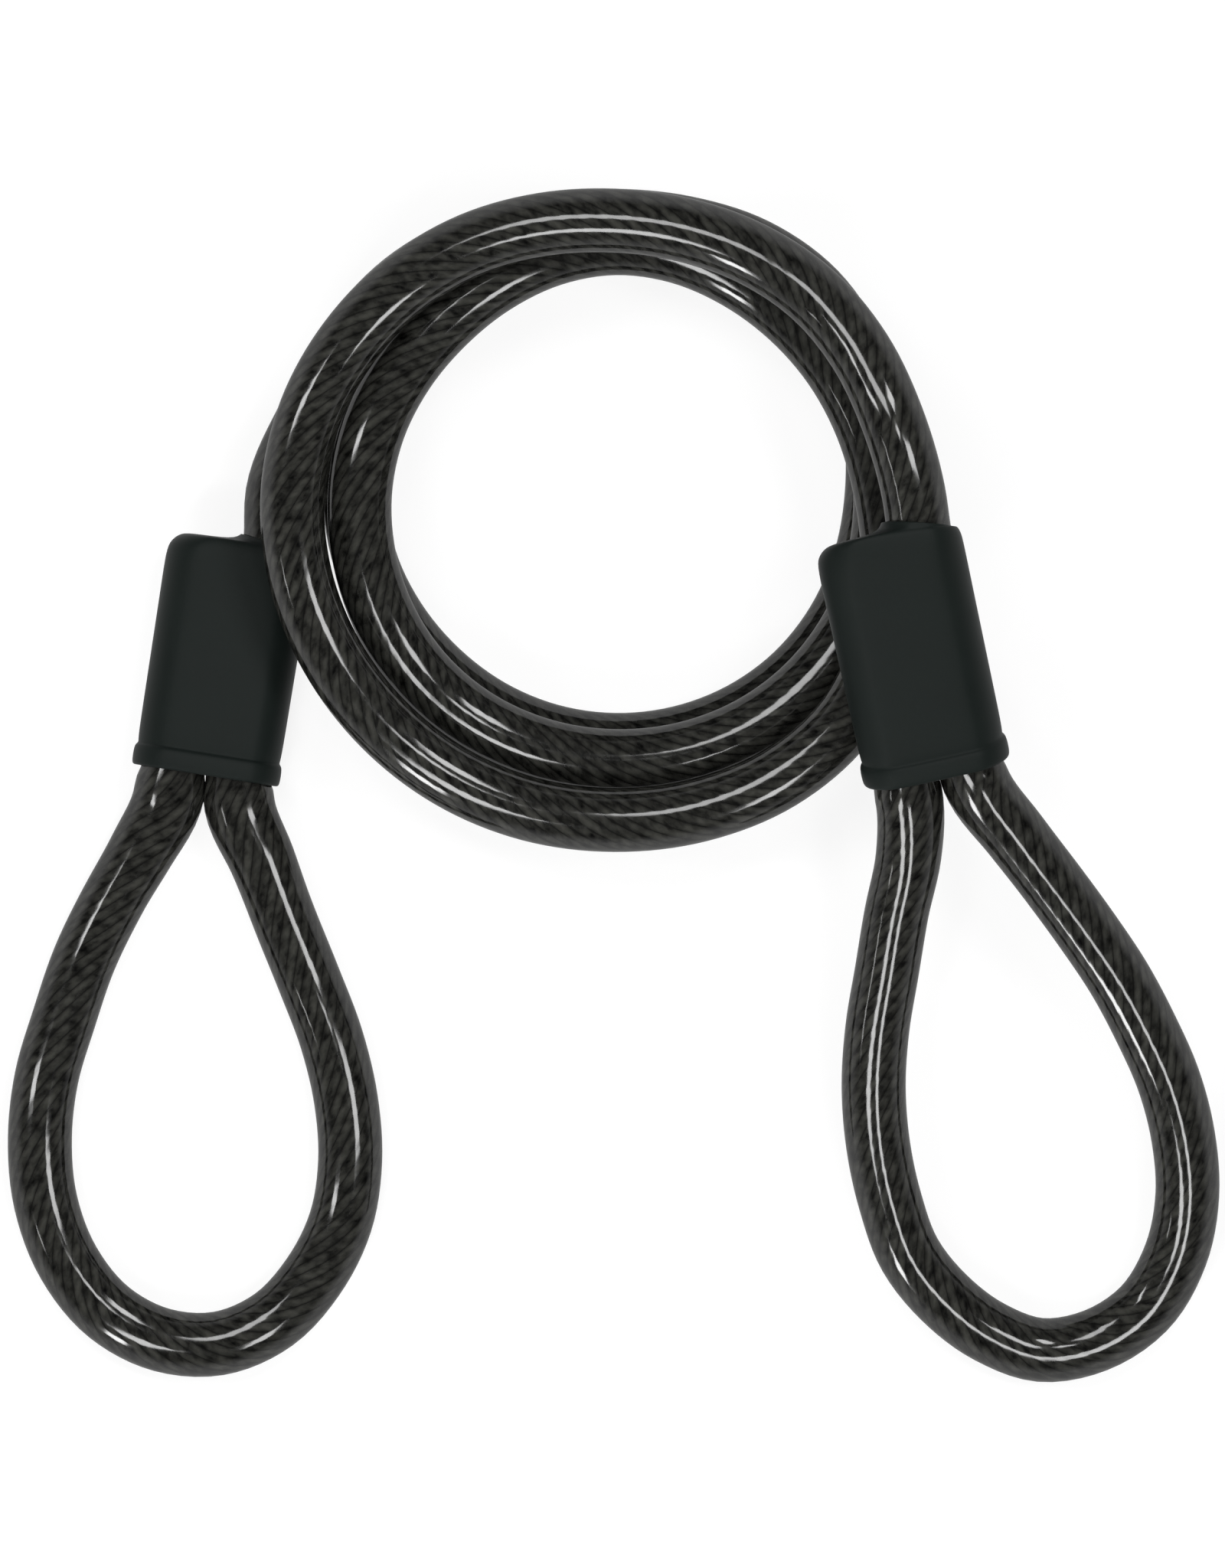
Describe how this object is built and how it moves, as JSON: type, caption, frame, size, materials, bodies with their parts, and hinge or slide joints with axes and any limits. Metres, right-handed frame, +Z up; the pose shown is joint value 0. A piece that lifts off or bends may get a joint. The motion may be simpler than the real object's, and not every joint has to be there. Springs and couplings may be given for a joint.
{
  "type": "double-loop security cable",
  "caption": "Jacketed steel cable in a loose coil, with an eye crimped under a moulded boot at each end; a padlock or D-lock goes through the eyes.",
  "frame": {"origin": "middle of the part's outline, on the surface that it lies on", "axes": "+Z up off the surface; +Y from the eyes towards the coil; +X from the left eye towards the right one, seen from above"},
  "size_m": [0.2264, 0.2231, 0.0565],
  "materials": {
    "jacket": "smoke-tinted glossy PVC over a twisted wire rope",
    "wire_rope": "galvanised steel strands",
    "ferrule": "crimped satin aluminium",
    "boot": "moulded black satin plastic"
  },
  "bodies": {
    "root": {"coil_jacket": "jacket", "left_eye_jacket": "jacket", "right_eye_jacket": "jacket", "rope_strands": "wire_rope", "rope_core": "wire_rope", "left_ferrule": "ferrule", "right_ferrule": "ferrule", "left_boot": "boot", "right_boot": "boot"}
  },
  "joints": []
}
